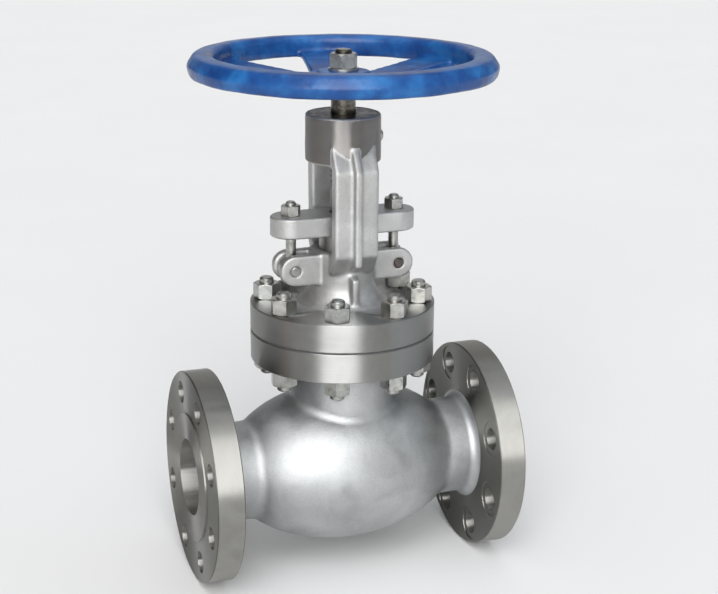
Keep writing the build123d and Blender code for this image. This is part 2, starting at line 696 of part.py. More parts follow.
# Yoke nut, the flanged bronze bush that carries the stem thread
with BuildPart() as yoke_nut:
    rod(YOKE_NUT_R, HUB_LOW_Z, YOKE_NUT_FLANGE_Z)
    rod(YOKE_NUT_FLANGE_R, YOKE_NUT_FLANGE_Z, YOKE_NUT_TOP_Z)
    rod(STEM_R + STEM_CLEARANCE, HUB_LOW_Z, YOKE_NUT_TOP_Z, mode=Mode.SUBTRACT)
    stem_hole_rims = yoke_nut.edges().filter_by(GeomType.CIRCLE).filter_by(
        lambda edge: abs(edge.radius - STEM_R - STEM_CLEARANCE) < PICK
    )
    chamfer(stem_hole_rims, YOKE_NUT_CHAMFER)
save(yoke_nut, "yoke_nut")

# Screw through the hub that stops the yoke nut from turning
with BuildPart() as yoke_set_screw:
    with Locations((STEM_X + SCREW_TIP_X, 0, SCREW_Z)):
        Cylinder(
            SCREW_R,
            HUB_R - SCREW_TIP_X,
            rotation=(0, 90, 0),
            align=(Align.CENTER, Align.CENTER, Align.MIN),
        )
    with Locations((STEM_X + HUB_R, 0, SCREW_Z)):
        Cylinder(
            SCREW_HEAD_R,
            SCREW_HEAD_H,
            rotation=(0, 90, 0),
            align=(Align.CENTER, Align.CENTER, Align.MIN),
        )
    chamfer(yoke_set_screw.faces().sort_by(Axis.X)[-1].edges(), SCREW_HEAD_CHAMFER)
save(yoke_set_screw, "yoke_set_screw")

# Handwheel: hub, six broad spokes in a dished web, and a heavy rim
with BuildPart() as handwheel:
    turned(
        (
            (0, STEM_SHOULDER_Z),
            (WHEEL_HUB_R - WHEEL_HUB_CHAMFER, STEM_SHOULDER_Z),
            (WHEEL_HUB_R, STEM_SHOULDER_Z + WHEEL_HUB_CHAMFER),
            (WEB_ROOT_R, WEB_LOW_Z),
            (WEB_RIM_R, WEB_RIM_LOW_Z),
            (WEB_RIM_R, WEB_RIM_TOP_Z),
            (WEB_ROOT_R, WEB_TOP_Z),
            (WHEEL_HUB_R, WHEEL_HUB_TOP_Z),
            (0, WHEEL_HUB_TOP_Z),
        )
    )
    for spoke in range(SPOKE_COUNT):
        window_angle = SPOKE_ANGLE + (spoke + 0.5) * SPOKE_PITCH
        with BuildSketch(Plane(origin=(STEM_X, 0, STEM_SHOULDER_Z)).rotated((0, 0, window_angle))):
            with BuildLine():
                Line((WINDOW_APEX_R, 0), (WINDOW_CORNER_X, WINDOW_CORNER_Y))
                ThreePointArc(
                    (WINDOW_CORNER_X, WINDOW_CORNER_Y),
                    (WINDOW_OUTER_R, 0),
                    (WINDOW_CORNER_X, -WINDOW_CORNER_Y),
                )
                Line((WINDOW_CORNER_X, -WINDOW_CORNER_Y), (WINDOW_APEX_R, 0))
            window = make_face()
            fillet(window.vertices(), WINDOW_ROUND)
        extrude(amount=RIM_TOP_Z - STEM_SHOULDER_Z, mode=Mode.SUBTRACT)
    with BuildSketch(Plane.XZ.shift_origin((STEM_X, 0, 0))) as rim:
        with BuildLine():
            Polyline(
                (RIM_INNER_R, RIM_LOW_Z),
                (WHEEL_R - RIM_DRAFT, RIM_LOW_Z),
                (WHEEL_R, RIM_CREASE_Z),
                (RIM_SHOULDER_R, RIM_SHOULDER_Z),
                (RIM_RIDGE_R, RIM_TOP_Z),
                (RIM_INNER_R, RIM_INNER_TOP_Z),
                close=True,
            )
        make_face()
        fillet(rim.vertices(), RIM_ROUND)
    revolve(axis=Axis((STEM_X, 0, 0), (0, 0, 1)))
    with BuildSketch(Plane.XY.offset(STEM_SHOULDER_Z)):
        with Locations((STEM_X, 0)):
            Rectangle(STEM_SQUARE + SQUARE_PLAY, STEM_SQUARE + SQUARE_PLAY)
    extrude(amount=WHEEL_HUB_TOP_Z - STEM_SHOULDER_Z, mode=Mode.SUBTRACT)
save(handwheel, "handwheel")

# Washer and nut that hold the handwheel on the stem
with BuildPart() as handwheel_washer:
    rod(WASHER_R, WHEEL_HUB_TOP_Z, WHEEL_HUB_TOP_Z + WASHER_T)
    rod(STEM_TIP_R + THREAD_CLEARANCE, WHEEL_HUB_TOP_Z, WHEEL_HUB_TOP_Z + WASHER_T, mode=Mode.SUBTRACT)
save(handwheel_washer, "handwheel_washer")

wheel_nut = hex_nut(WHEEL_NUT_AF, WHEEL_NUT_H, STEM_TIP_R + THREAD_CLEARANCE)
with BuildPart() as handwheel_nut:
    with Locations((STEM_X, 0, WHEEL_HUB_TOP_Z + WASHER_T)):
        add(wheel_nut)
save(handwheel_nut, "handwheel_nut")
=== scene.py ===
"""Looks of a DN 80 flanged globe valve with a blue handwheel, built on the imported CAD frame.

The pipe runs along X and the stem along Z. Lengths are metres.
"""
import math

import bmesh
import bpy
import numpy as np
from mathutils import Matrix, Vector, noise


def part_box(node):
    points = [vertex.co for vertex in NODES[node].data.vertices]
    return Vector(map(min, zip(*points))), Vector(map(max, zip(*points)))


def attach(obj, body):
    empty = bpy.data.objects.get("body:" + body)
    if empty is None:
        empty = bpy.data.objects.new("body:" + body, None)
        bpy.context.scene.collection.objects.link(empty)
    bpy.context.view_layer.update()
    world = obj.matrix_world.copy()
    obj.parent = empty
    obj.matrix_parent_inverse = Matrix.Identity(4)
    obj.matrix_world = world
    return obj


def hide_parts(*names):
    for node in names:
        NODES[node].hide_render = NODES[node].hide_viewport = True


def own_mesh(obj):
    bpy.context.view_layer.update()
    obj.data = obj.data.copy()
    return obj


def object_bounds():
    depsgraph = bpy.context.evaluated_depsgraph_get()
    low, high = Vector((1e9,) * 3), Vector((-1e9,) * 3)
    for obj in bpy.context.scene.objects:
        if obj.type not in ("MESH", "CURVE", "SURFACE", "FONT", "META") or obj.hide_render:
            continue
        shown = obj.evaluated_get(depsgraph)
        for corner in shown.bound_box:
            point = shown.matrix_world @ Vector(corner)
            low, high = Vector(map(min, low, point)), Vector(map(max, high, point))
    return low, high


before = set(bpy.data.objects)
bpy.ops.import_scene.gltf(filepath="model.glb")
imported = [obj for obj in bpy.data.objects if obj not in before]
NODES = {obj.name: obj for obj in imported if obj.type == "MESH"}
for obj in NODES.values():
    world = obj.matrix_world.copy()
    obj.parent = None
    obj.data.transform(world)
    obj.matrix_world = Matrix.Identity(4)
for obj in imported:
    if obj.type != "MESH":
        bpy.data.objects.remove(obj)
CAD_LOW, CAD_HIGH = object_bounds()

MM = 0.001
INLET_LOW, OUTLET_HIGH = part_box("valve_body")
STEM_X = (INLET_LOW.x + OUTLET_HIGH.x) / 2

# A face looks along an axis when this much of its normal lies along it
FACING = 0.7


# ---------------------------------------------------------------- node helpers
def colour(rgb):
    return (*rgb, 1.0) if isinstance(rgb, tuple) and len(rgb) == 3 else rgb


def shade(rgb, gain):
    """A lighter or darker version of a colour."""
    return tuple(min(1, gain * c) for c in rgb)


class Graph:
    """One shader tree, with short calls for the nodes used here."""

    def __init__(self, tree, coords):
        self.tree = tree
        self.coords = self.node("ShaderNodeTexCoord").outputs[coords]

    def node(self, kind, **props):
        made = self.tree.nodes.new(kind)
        for key, value in props.items():
            setattr(made, key, value)
        return made

    def link(self, a, b):
        self.tree.links.new(a, b)

    def put(self, socket, value):
        """Link a socket into an input, or write a plain value there."""
        if isinstance(value, bpy.types.NodeSocket):
            self.link(value, socket)
        else:
            socket.default_value = colour(value)

    def noise(self, scale, detail=4, rough=0.55, distort=0.0, coords=None):
        n = self.node("ShaderNodeTexNoise")
        self.link(coords or self.coords, n.inputs["Vector"])
        n.inputs["Scale"].default_value = scale
        n.inputs["Detail"].default_value = detail
        n.inputs["Roughness"].default_value = rough
        n.inputs["Distortion"].default_value = distort
        return n.outputs["Fac"]

    def voronoi(self, scale):
        n = self.node("ShaderNodeTexVoronoi")
        self.link(self.coords, n.inputs["Vector"])
        n.inputs["Scale"].default_value = scale
        return n.outputs["Distance"]

    def stretch(self, scale):
        n = self.node("ShaderNodeMapping")
        self.link(self.coords, n.inputs["Vector"])
        n.inputs["Scale"].default_value = scale
        return n.outputs[0]

    def ramp(self, fac, *stops):
        """A colour ramp through (position, colour) stops, in rising order."""
        n = self.node("ShaderNodeValToRGB")
        self.link(fac, n.inputs[0])
        elements = n.color_ramp.elements
        for element, (position, value) in zip(elements, (stops[0], stops[-1])):
            element.position = position
            element.color = colour(value)
        for position, value in stops[1:-1]:
            elements.new(position).color = colour(value)
        return n.outputs[0]

    def calc(self, op, a, b=0.0, c=0.0):
        n = self.node("ShaderNodeMath", operation=op)
        for socket, value in zip(n.inputs, (a, b, c)):
            self.put(socket, value)
        return n.outputs[0]

    def mix(self, fac, a, b, blend="MIX"):
        n = self.node("ShaderNodeMix", data_type="RGBA", blend_type=blend)
        self.put(n.inputs["Factor"], fac)
        self.put(n.inputs[6], a)
        self.put(n.inputs[7], b)
        return n.outputs[2]

    def scale_range(self, value, low, high, from_low, from_high, **props):
        """The value carried from one range to another, clamped at both ends."""
        n = self.node("ShaderNodeMapRange", **props)
        self.link(value, n.inputs[0])
        for i, limit in enumerate((from_low, from_high, low, high)):
            n.inputs[i + 1].default_value = limit
        return n.outputs[0]

    def xyz(self, vector=None):
        n = self.node("ShaderNodeSeparateXYZ")
        self.link(vector or self.coords, n.inputs[0])
        return n.outputs


class Finish(Graph):
    """A material: its shader, its bump and where on the valve a point lies."""

    INPUTS = {
        "base": "Base Color", "metal": "Metallic", "rough": "Roughness", "specular": "Specular IOR Level",
        "coat": "Coat Weight", "coat_rough": "Coat Roughness", "aniso": "Anisotropic",
        "aniso_turn": "Anisotropic Rotation", "tangent": "Tangent",
    }

    def __init__(self, name):
        self.material = bpy.data.materials.new(name)
        self.material.use_nodes = True
        tree = self.material.node_tree
        tree.nodes.clear()
        super().__init__(tree, "Object")
        self.shader = self.node("ShaderNodeBsdfPrincipled")
        self.link(self.shader.outputs[0], self.node("ShaderNodeOutputMaterial").inputs[0])

    def set(self, **values):
        for key, value in values.items():
            self.put(self.shader.inputs[self.INPUTS[key]], value)

    def normal_part(self, axis):
        """The surface normal's share along one axis."""
        return self.xyz(self.node("ShaderNodeTexCoord").outputs["Normal"])[axis]

    def radius(self, axis):
        """Distance from the pipe's axis ("X") or from the stem's axis ("Z")."""
        x, y, z = self.xyz()
        first = z if axis == "X" else self.calc("SUBTRACT", x, STEM_X)
        squares = self.calc("ADD", self.calc("POWER", y, 2.0), self.calc("POWER", first, 2.0))
        return self.calc("SQRT", squares)

    def bump(self, *layers, round_edges=0.0):
        """Bump from (height, depth in metres) layers, over edges softened to a radius."""
        normal = None
        if round_edges:
            bevel = self.node("ShaderNodeBevel", samples=4)
            bevel.inputs["Radius"].default_value = round_edges
            normal = bevel.outputs[0]
        for height, depth in layers:
            n = self.node("ShaderNodeBump")
            n.inputs["Strength"].default_value = 1.0
            n.inputs["Distance"].default_value = depth
            self.link(height, n.inputs["Height"])
            if normal:
                self.link(normal, n.inputs["Normal"])
            normal = n.outputs[0]
        for name in ("Normal", "Coat Normal"):
            self.link(normal, self.shader.inputs[name])


# ------------------------------------------------------------------- materials
# Noise scales are features per metre. Ramp stops are (noise value, colour).
def cast_steel(name, tint=(0.97, 0.995, 1.02), dark=1.0, soft_edge=0.0012):
    """Shot-blasted stainless casting: pale satin grey, pitted grain, faint stains."""
    g = Finish(name)
    grain = g.noise(900, 3, 0.6)
    pits = g.voronoi(700)
    blotch = g.noise(22, 5, 0.6, 0.4)
    stain = g.noise(7, 3, 0.55)
    tone = g.ramp(
        blotch,
        (0.30, shade(tint, 0.33 * dark)),
        (0.52, shade(tint, 0.42 * dark)),
        (0.72, shade(tint, 0.49 * dark)),
    )
    speck = g.ramp(grain, (0.30, (0.80, 0.79, 0.77)), (0.60, (1.0, 1.0, 1.0)))
    warm = g.ramp(stain, (0.42, (1.0, 1.0, 1.0)), (0.70, (0.96, 0.95, 0.92)))
    specked = g.mix(0.75, tone, speck, "MULTIPLY")
    g.set(
        base=g.mix(0.6, specked, warm, "MULTIPLY"),
        metal=0.92,
        rough=g.scale_range(blotch, 0.44, 0.60, 0.3, 0.75),
    )
    g.bump((g.noise(60, 3, 0.5), 0.00035), (pits, 0.00006), (grain, 0.00009), round_edges=soft_edge)
    return g.material


def turned_steel(name, axis, base=(0.38, 0.38, 0.37), rough=(0.36, 0.44), pitch=0.0006, groove=0.0):
    """Lathe-turned stainless: fine rings about the axis that stretch its highlights, slight haze.

    pitch is the spacing of the tool marks, and groove is half the spacing of cut serrations.
    """
    g = Finish(name)
    facing = g.calc("ABSOLUTE", g.normal_part(axis))
    on_face = g.calc("MULTIPLY", g.radius(axis), g.calc("GREATER_THAN", facing, FACING))
    on_rim = g.calc("MULTIPLY", g.xyz()[axis], g.calc("LESS_THAN", facing, FACING))
    rings = g.node("ShaderNodeCombineXYZ")
    g.link(g.calc("MULTIPLY", g.calc("ADD", on_face, on_rim), 1 / pitch), rings.inputs[0])
    lines = g.noise(1.0, 3, 0.7, coords=rings.outputs[0])
    broad = g.noise(0.12, 2, 0.5, coords=rings.outputs[0])
    haze = g.noise(16, 4, 0.6, 0.5)
    tone = g.ramp(haze, (0.30, shade(base, 0.78)), (0.55, base), (0.75, shade(base, 1.12)))
    streak = g.ramp(lines, (0.28, (0.74, 0.73, 0.71)), (0.62, (1.0, 1.0, 1.0)))
    g.set(
        base=g.mix(0.7, tone, streak, "MULTIPLY"),
        metal=1.0,
        rough=g.scale_range(haze, *rough, 0.3, 0.7),
        aniso=1.0,
        aniso_turn=0.25,
        tangent=g.node("ShaderNodeTangent", direction_type="RADIAL", axis=axis).outputs[0],
    )
    layers = [(lines, 0.00003), (broad, 0.00005)]
    if groove:
        layers.append((g.calc("PINGPONG", g.radius(axis), groove), 0.0004))
    g.bump(*layers, round_edges=0.0006)
    return g.material


def fastener_steel(name, base=(0.46, 0.455, 0.425), rough=(0.26, 0.40), thread=0.0):
    """Forged and machined fastener steel with light oil: mottled, with rounded edges.

    thread is the pitch of a screw thread along Z.
    """
    g = Finish(name)
    mottled = g.noise(150, 4, 0.6, 0.3)
    fine = g.noise(1400, 3, 0.6)
    broad = g.noise(30, 2, 0.5)
    tone = g.ramp(mottled, (0.30, shade(base, 0.72)), (0.50, base), (0.72, shade(base, 1.22)))
    cool = g.ramp(broad, (0.40, (1.0, 1.0, 1.0)), (0.65, (0.90, 0.95, 1.0)))
    g.set(
        base=g.mix(0.6, tone, cool, "MULTIPLY"),
        metal=1.0,
        rough=g.scale_range(mottled, *rough, 0.3, 0.7),
    )
    layers = [(mottled, 0.00010), (fine, 0.00004)]
    if thread:
        layers.insert(0, (g.calc("PINGPONG", g.xyz()["Z"], thread / 2), 0.0012))
    g.bump(*layers, round_edges=0.0007)
    return g.material


def oiled_steel(name):
    """Dark greased stem steel with dull patches and a wet sheen."""
    g = Finish(name)
    patches = g.noise(60, 4, 0.6, 0.8)
    scratch = g.noise(9, 4, 0.7, coords=g.stretch((40, 40, 6)))
    tone = g.ramp(
        patches,
        (0.32, (0.022, 0.019, 0.014)),
        (0.52, (0.095, 0.085, 0.070)),
        (0.75, (0.25, 0.24, 0.22)),
    )
    worn = g.ramp(scratch, (0.35, (0.3, 0.28, 0.25)), (0.65, (1.0, 1.0, 1.0)))
    g.set(
        base=g.mix(0.35, tone, worn, "MULTIPLY"),
        metal=1.0,
        rough=g.scale_range(patches, 0.42, 0.20, 0.3, 0.7),
        coat=0.35,
        coat_rough=0.18,
    )
    g.bump((scratch, 0.00006), (g.noise(500, 3), 0.00005), round_edges=0.0006)
    return g.material


def greased_bronze(name):
    """Turned bronze of the yoke nut, brown with old grease."""
    g = Finish(name)
    grime = g.noise(90, 5, 0.65, 0.8)
    rings = g.noise(1.0, 3, 0.7, coords=g.stretch((1, 1, 900)))
    tone = g.ramp(
        grime,
        (0.35, (0.035, 0.026, 0.016)),
        (0.55, (0.15, 0.11, 0.06)),
        (0.78, (0.36, 0.27, 0.14)),
    )
    g.set(
        base=tone,
        metal=0.95,
        rough=g.scale_range(grime, 0.55, 0.30, 0.3, 0.75),
        coat=0.3,
        coat_rough=0.25,
    )
    g.bump((grime, 0.0002), (rings, 0.00004), round_edges=0.0006)
    return g.material


def blue_enamel(name):
    """Glossy blue enamel brushed over a rough casting: uneven film, darker where it ran thick."""
    g = Finish(name)
    wave = g.noise(38, 3, 0.5, 0.3)
    runs = g.noise(90, 4, 0.6, 0.6)
    orange_peel = g.noise(520, 2, 0.5)
    film = g.ramp(
        wave,
        (0.30, (0.004, 0.034, 0.150)),
        (0.50, (0.007, 0.062, 0.220)),
        (0.70, (0.016, 0.115, 0.320)),
    )
    thick = g.ramp(runs, (0.35, (0.70, 0.72, 0.80)), (0.60, (1.0, 1.0, 1.0)))
    g.set(
        base=g.mix(0.65, film, thick, "MULTIPLY"),
        metal=0.0,
        rough=g.scale_range(runs, 0.30, 0.44, 0.3, 0.7),
        specular=0.25,
        coat=0.22,
        coat_rough=0.16,
    )
    g.bump((wave, 0.0009), (runs, 0.0003), (orange_peel, 0.00004))
    return g.material


def graphite(name, weave=False):
    """Compressed graphite: near black, dull, flaky, braided on the packing."""
    g = Finish(name)
    flakes = g.noise(600, 4, 0.7)
    relief = g.voronoi(420) if weave else g.noise(120, 4)
    g.set(
        base=g.ramp(flakes, (0.3, (0.018, 0.018, 0.019)), (0.7, (0.075, 0.075, 0.078))),
        metal=0.2,
        rough=g.scale_range(flakes, 0.45, 0.75, 0.3, 0.7),
    )
    g.bump((relief, 0.0004), (flakes, 0.00008))
    return g.material


def pale_paper(name):
    """The studio floor: matt, very slightly uneven."""
    g = Finish(name)
    g.set(
        base=g.ramp(g.noise(3, 3), (0.3, (0.722, 0.722, 0.720)), (0.7, (0.734, 0.734, 0.732))),
        rough=0.9,
        specular=0.1,
    )
    return g.material


CAST = cast_steel("cast_stainless", dark=1.08)
CAST_YOKE = cast_steel("cast_stainless_yoke", tint=(1.0, 1.0, 1.0), dark=1.12, soft_edge=0.002)
TURNED_X = turned_steel("turned_stainless_flange", "X", base=(0.42, 0.415, 0.39))
# The end flanges' flat faces and raised faces get a much darker base than the rims: painted shade. Their
# turning marks and serrations are real.
SHADED_FACE_X = turned_steel("turned_stainless_face_shaded", "X", base=(0.19, 0.19, 0.175))
SHADED_SERRATED = turned_steel("serrated_raised_face_shaded", "X", base=(0.21, 0.205, 0.19), groove=0.0004)
TURNED_Z = turned_steel("turned_stainless_joint", "Z")
HUB_STEEL = turned_steel("machined_hub", "Z", base=(0.37, 0.355, 0.34), rough=(0.42, 0.50))
TRIM = turned_steel("turned_trim", "Z", base=(0.50, 0.50, 0.49), pitch=0.0004)
FASTENER = fastener_steel("fastener_steel")
THREADED = fastener_steel("threaded_steel", base=(0.38, 0.375, 0.35), thread=0.002)
PIN_STEEL = fastener_steel("pin_steel", base=(0.38, 0.38, 0.37))
# The right pin is a darker copy of the pin steel: painted shade for the recess at its end
SHADED_PIN = fastener_steel("shaded_pin_steel", base=(0.12, 0.105, 0.10))
STEM_STEEL = oiled_steel("oiled_stem_steel")
BRONZE = greased_bronze("greased_bronze")
ENAMEL = blue_enamel("blue_enamel")
GASKET = graphite("gasket_graphite")
PACKING = graphite("packing_graphite", weave=True)

# Nodes with one material that isn't plain fastener steel
SINGLE = {
    "seat_ring": TRIM,
    "disc": TRIM,
    "disc_nut": TRIM,
    "backseat_bushing": TRIM,
    "packing_washer": TRIM,
    "gland": TRIM,
    "gland_flange": CAST_YOKE,
    "yoke_nut": BRONZE,
    "bonnet_gasket": GASKET,
    "bonnet_studs": THREADED,
    "eyebolt_pin_left": PIN_STEEL,
    # Right pin darker than the left: painted shade
    "eyebolt_pin_right": SHADED_PIN,
}


def paint(obj, *materials):
    obj.data.materials.clear()
    for material in materials:
        obj.data.materials.append(material)


def paint_by_face(obj, materials, chooser):
    """Give each face the one of the materials that chooser(centre, normal) names."""
    paint(obj, *materials)
    for face in obj.data.polygons:
        face.material_index = materials.index(chooser(face.center, face.normal))


# ------------------------------------------------- where each finish starts and ends
# JOINT_FLAT, BONNET_UNDERSIDE and HUB_OUTWARD are shares of a face's normal, as FACING is
FLANGE_DEPTH = 29.0 * MM
END_SKIN = 0.5 * MM
BORE_R = 38.2 * MM
END_NECK_R = 60 * MM

JOINT_LOW_Z = 105 * MM
JOINT_RIM_R = 90.0 * MM
JOINT_SEAT_R = 48 * MM
JOINT_FLAT = 0.9

BONNET_RIM_TOP_Z = 170 * MM
BONNET_NECK_R = 56 * MM
BONNET_UNDERSIDE = -0.5

HUB_LOW = 309 * MM
HUB_R = 36.0 * MM
HUB_SKIN = 1.2 * MM
HUB_OUTWARD = 0.97

EYEBOLT_THREAD_LOW = 228 * MM


def stem_distance(point):
    return math.hypot(point.x - STEM_X, point.y)


def body_finish(centre, normal):
    """Turned end flanges and joint flange, blasted belly and necks."""
    off = abs(centre.x - STEM_X)
    from_pipe = math.hypot(centre.y, centre.z)
    from_stem = stem_distance(centre)
    at_flange = off > STEM_X - FLANGE_DEPTH
    if off > STEM_X - END_SKIN and from_pipe > BORE_R:
        # The end faces take the darker, painted-shade copies of the turned steel
        return SHADED_SERRATED
    if at_flange and abs(normal.x) > FACING:
        return SHADED_FACE_X
    if at_flange and (from_pipe > END_NECK_R or from_pipe < BORE_R):
        return TURNED_X
    machined = from_stem > JOINT_RIM_R or abs(normal.z) > JOINT_FLAT or from_stem < JOINT_SEAT_R
    if centre.z > JOINT_LOW_Z and machined:
        return TURNED_Z
    return CAST


def bonnet_finish(centre, normal):
    """Turned rim and underside of the bonnet flange."""
    machined = stem_distance(centre) > BONNET_NECK_R or normal.z < BONNET_UNDERSIDE
    return TURNED_Z if centre.z < BONNET_RIM_TOP_Z and machined else CAST_YOKE


def yoke_finish(centre, normal):
    """The hub's turned outside; the arms' ribs run up into it and stay cast."""
    from_stem = stem_distance(centre)
    outward = (normal.x * (centre.x - STEM_X) + normal.y * centre.y) / max(from_stem, 1e-6)
    on_hub = centre.z > HUB_LOW and abs(from_stem - HUB_R) < HUB_SKIN and outward > HUB_OUTWARD
    return HUB_STEEL if on_hub else CAST_YOKE


def eyebolt_finish(centre, _normal):
    return THREADED if centre.z > EYEBOLT_THREAD_LOW else FASTENER


for node, obj in NODES.items():
    paint(obj, SINGLE.get(node, FASTENER))
paint_by_face(NODES["valve_body"], (CAST, TURNED_X, TURNED_Z, SHADED_FACE_X, SHADED_SERRATED), body_finish)
for side in ("left", "right"):
    paint_by_face(NODES[f"eyebolt_{side}"], (FASTENER, THREADED), eyebolt_finish)


# ---------------------------------------------------------------- mesh helpers
SKIN_VOXEL = 0.0013
SKIN_SMOOTHING = 0.5


def new_object(name, data):
    made = bpy.data.objects.new(name, data)
    bpy.context.scene.collection.objects.link(made)
    return made


def stand_for(piece, node, body):
    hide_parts(node)
    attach(piece, body)


def closed_mesh(bm, name):
    """The finished mesh of a bmesh, which is freed."""
    mesh = bpy.data.meshes.new(name)
    bm.to_mesh(mesh)
    bm.free()
    return mesh


def shade_smooth(mesh):
    mesh.polygons.foreach_set("use_smooth", [True] * len(mesh.polygons))


def cut_mesh(mesh, height, keep_above):
    """Remove what lies under (or over) one height."""
    bm = bmesh.new()
    bm.from_mesh(mesh)
    bmesh.ops.bisect_plane(
        bm,
        geom=bm.verts[:] + bm.edges[:] + bm.faces[:],
        plane_co=(0, 0, height),
        plane_no=(0, 0, 1),
        clear_inner=keep_above,
        clear_outer=not keep_above,
    )
    bm.to_mesh(mesh)
    bm.free()


def softened(name, node, passes, waves):
    """A sand casting's skin grown from a CAD node: corners run together, faces gently uneven.

    waves are (wavelength, depth) pairs in metres. The skin never leaves the node's box.
    """
    piece = new_object(name, NODES[node].data.copy())
    remesh = piece.modifiers.new("remesh", "REMESH")
    remesh.mode = "VOXEL"
    remesh.voxel_size = SKIN_VOXEL
    smooth = piece.modifiers.new("smooth", "SMOOTH")
    smooth.factor = SKIN_SMOOTHING
    smooth.iterations = passes
    grown = bpy.data.meshes.new_from_object(piece.evaluated_get(bpy.context.evaluated_depsgraph_get()))
    piece.modifiers.clear()
    piece.data = grown
    places = np.empty(len(grown.vertices) * 3)
    normals = np.empty(len(grown.vertices) * 3)
    grown.vertices.foreach_get("co", places)
    grown.vertex_normals.foreach_get("vector", normals)
    places = places.reshape(-1, 3)
    lift = [sum(depth * noise.noise(Vector(place) / length) for length, depth in waves) for place in places]
    places += normals.reshape(-1, 3) * np.array(lift)[:, None]
    grown.vertices.foreach_set("co", np.clip(places, *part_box(node)).ravel())
    shade_smooth(grown)
    grown.update()
    return piece


# -------------------------------------------------------------- softened castings
WHEEL_WAVES = ((0.030, 0.0004), (0.012, 0.00015))
YOKE_WAVES = ((0.025, 0.0003), (0.008, 0.00012))

# The bonnet's machined flange stays crisp, and everything above it is one soft casting.
# The casting's cut foot is pushed down into the flange, so that no gap shows between them.
BONNET_TOP = 169.2 * MM
FLANGE_CUT_Z = BONNET_TOP + 0.1 * MM
YOKE_CUT_Z = BONNET_TOP + 0.25 * MM
YOKE_FOOT_Z = BONNET_TOP + 0.6 * MM
YOKE_FOOT_SINK = 0.5 * MM

wheel = softened("handwheel_casting", "handwheel", 14, WHEEL_WAVES)
paint(wheel, ENAMEL)
stand_for(wheel, "handwheel", "stem_and_wheel")

flange = new_object("bonnet_flange", NODES["bonnet"].data.copy())
cut_mesh(flange.data, FLANGE_CUT_Z, keep_above=False)
paint_by_face(flange, (CAST_YOKE, TURNED_Z), bonnet_finish)
stand_for(flange, "bonnet", "pressure_body")

yoke = softened("bonnet_yoke", "bonnet", 8, YOKE_WAVES)
cut_mesh(yoke.data, YOKE_CUT_Z, keep_above=True)
for vertex in yoke.data.vertices:
    if vertex.co.z < YOKE_FOOT_Z:
        vertex.co.z -= YOKE_FOOT_SINK
paint_by_face(yoke, (CAST_YOKE, HUB_STEEL), yoke_finish)
stand_for(yoke, "bonnet", "pressure_body")

# ------------------------------------------------------------------ stem thread
THREAD_LEAD = 5 * MM
THREAD_LOW = 283 * MM
THREAD_HIGH = 354 * MM
THREAD_CREST = 11.95 * MM
THREAD_ROOT = 9.8 * MM
THREAD_AROUND = 48
THREAD_STEPS = 12

# Flanks rise this many thread depths per lead and would meet this many depths above the root
THREAD_FLANK = 8.0
THREAD_PEAK = 2.2


def thread_radius(row, rows, turn, z):
    """A trapezoidal thread's radius, or the plain shank's on the rows that close its ends."""
    if row < 0 or row > rows:
        return THREAD_CREST
    phase = ((z - THREAD_LOW) / THREAD_LEAD - turn) % 1.0
    share = min(1.0, max(0.0, THREAD_PEAK - abs(phase - 0.5) * THREAD_FLANK))
    return THREAD_ROOT + (THREAD_CREST - THREAD_ROOT) * share


def add_thread(bm):
    rows = round((THREAD_HIGH - THREAD_LOW) / THREAD_LEAD * THREAD_STEPS)
    rings = []
    for row in range(-1, rows + 2):
        z = THREAD_LOW + min(max(row, 0), rows) * THREAD_LEAD / THREAD_STEPS
        ring = []
        for step in range(THREAD_AROUND):
            turn = step / THREAD_AROUND
            r = thread_radius(row, rows, turn, z)
            angle = 2 * math.pi * turn
            ring.append(bm.verts.new((STEM_X + r * math.cos(angle), r * math.sin(angle), z)))
        rings.append(ring)
    for lower, upper in zip(rings, rings[1:]):
        for step in range(THREAD_AROUND):
            after = (step + 1) % THREAD_AROUND
            bm.faces.new((lower[step], lower[after], upper[after], upper[step]))


def threaded_stem():
    """The CAD stem with the middle of its shank changed for a real thread."""
    bm = bmesh.new()
    for height, keep_above in ((THREAD_LOW, False), (THREAD_HIGH, True)):
        plain = NODES["stem"].data.copy()
        cut_mesh(plain, height, keep_above)
        bm.from_mesh(plain)
    add_thread(bm)
    return new_object("stem_threaded", closed_mesh(bm, "stem_threaded"))


stem = threaded_stem()
paint(stem, STEM_STEEL)
stand_for(stem, "stem", "stem_and_wheel")

# ---------------------------------------------------------------- packing rings
PACK_LOW, PACK_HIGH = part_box("packing_rings")
PACK_COUNT = 5
PACK_PITCH = (PACK_HIGH.z - PACK_LOW.z) / PACK_COUNT
PACK_BORE_R = 12.15 * MM
PACK_R = (PACK_HIGH.x - PACK_LOW.x) / 2 - 0.1 * MM
PACK_PLAY = 0.25 * MM
PACK_PLAITS = 36
PACK_AROUND = 144
PACK_SECTION = 16
PACK_SQUARENESS = 6
PACK_BULGE = 0.03


def packing_point(angle, around, low):
    """A point of one ring: its place round the stem, its place round the section, the ring's foot."""
    mid_r, half_w = (PACK_R + PACK_BORE_R) / 2, (PACK_R - PACK_BORE_R) / 2 - PACK_PLAY
    mid_z, half_h = low + PACK_PITCH / 2, PACK_PITCH / 2 - PACK_PLAY
    across, up = math.cos(around), math.sin(around)
    square = (abs(across) ** PACK_SQUARENESS + abs(up) ** PACK_SQUARENESS) ** (-1 / PACK_SQUARENESS)
    plait = 1 + PACK_BULGE * math.sin(PACK_PLAITS * angle + 2 * around)
    reach = min(1 + PACK_BULGE, square * plait)
    r = mid_r + half_w * reach * across
    return STEM_X + r * math.cos(angle), r * math.sin(angle), mid_z + half_h * reach * up


def add_packing_ring(bm, low):
    """A braided ring: rounded section whose skin bulges plait by plait."""
    rings = []
    for step in range(PACK_AROUND):
        angle = 2 * math.pi * step / PACK_AROUND
        section = [2 * math.pi * part / PACK_SECTION for part in range(PACK_SECTION)]
        rings.append([bm.verts.new(packing_point(angle, around, low)) for around in section])
    for a, b in zip(rings, rings[1:] + rings[:1]):
        for part in range(PACK_SECTION):
            after = (part + 1) % PACK_SECTION
            bm.faces.new((a[part], b[part], b[after], a[after]))


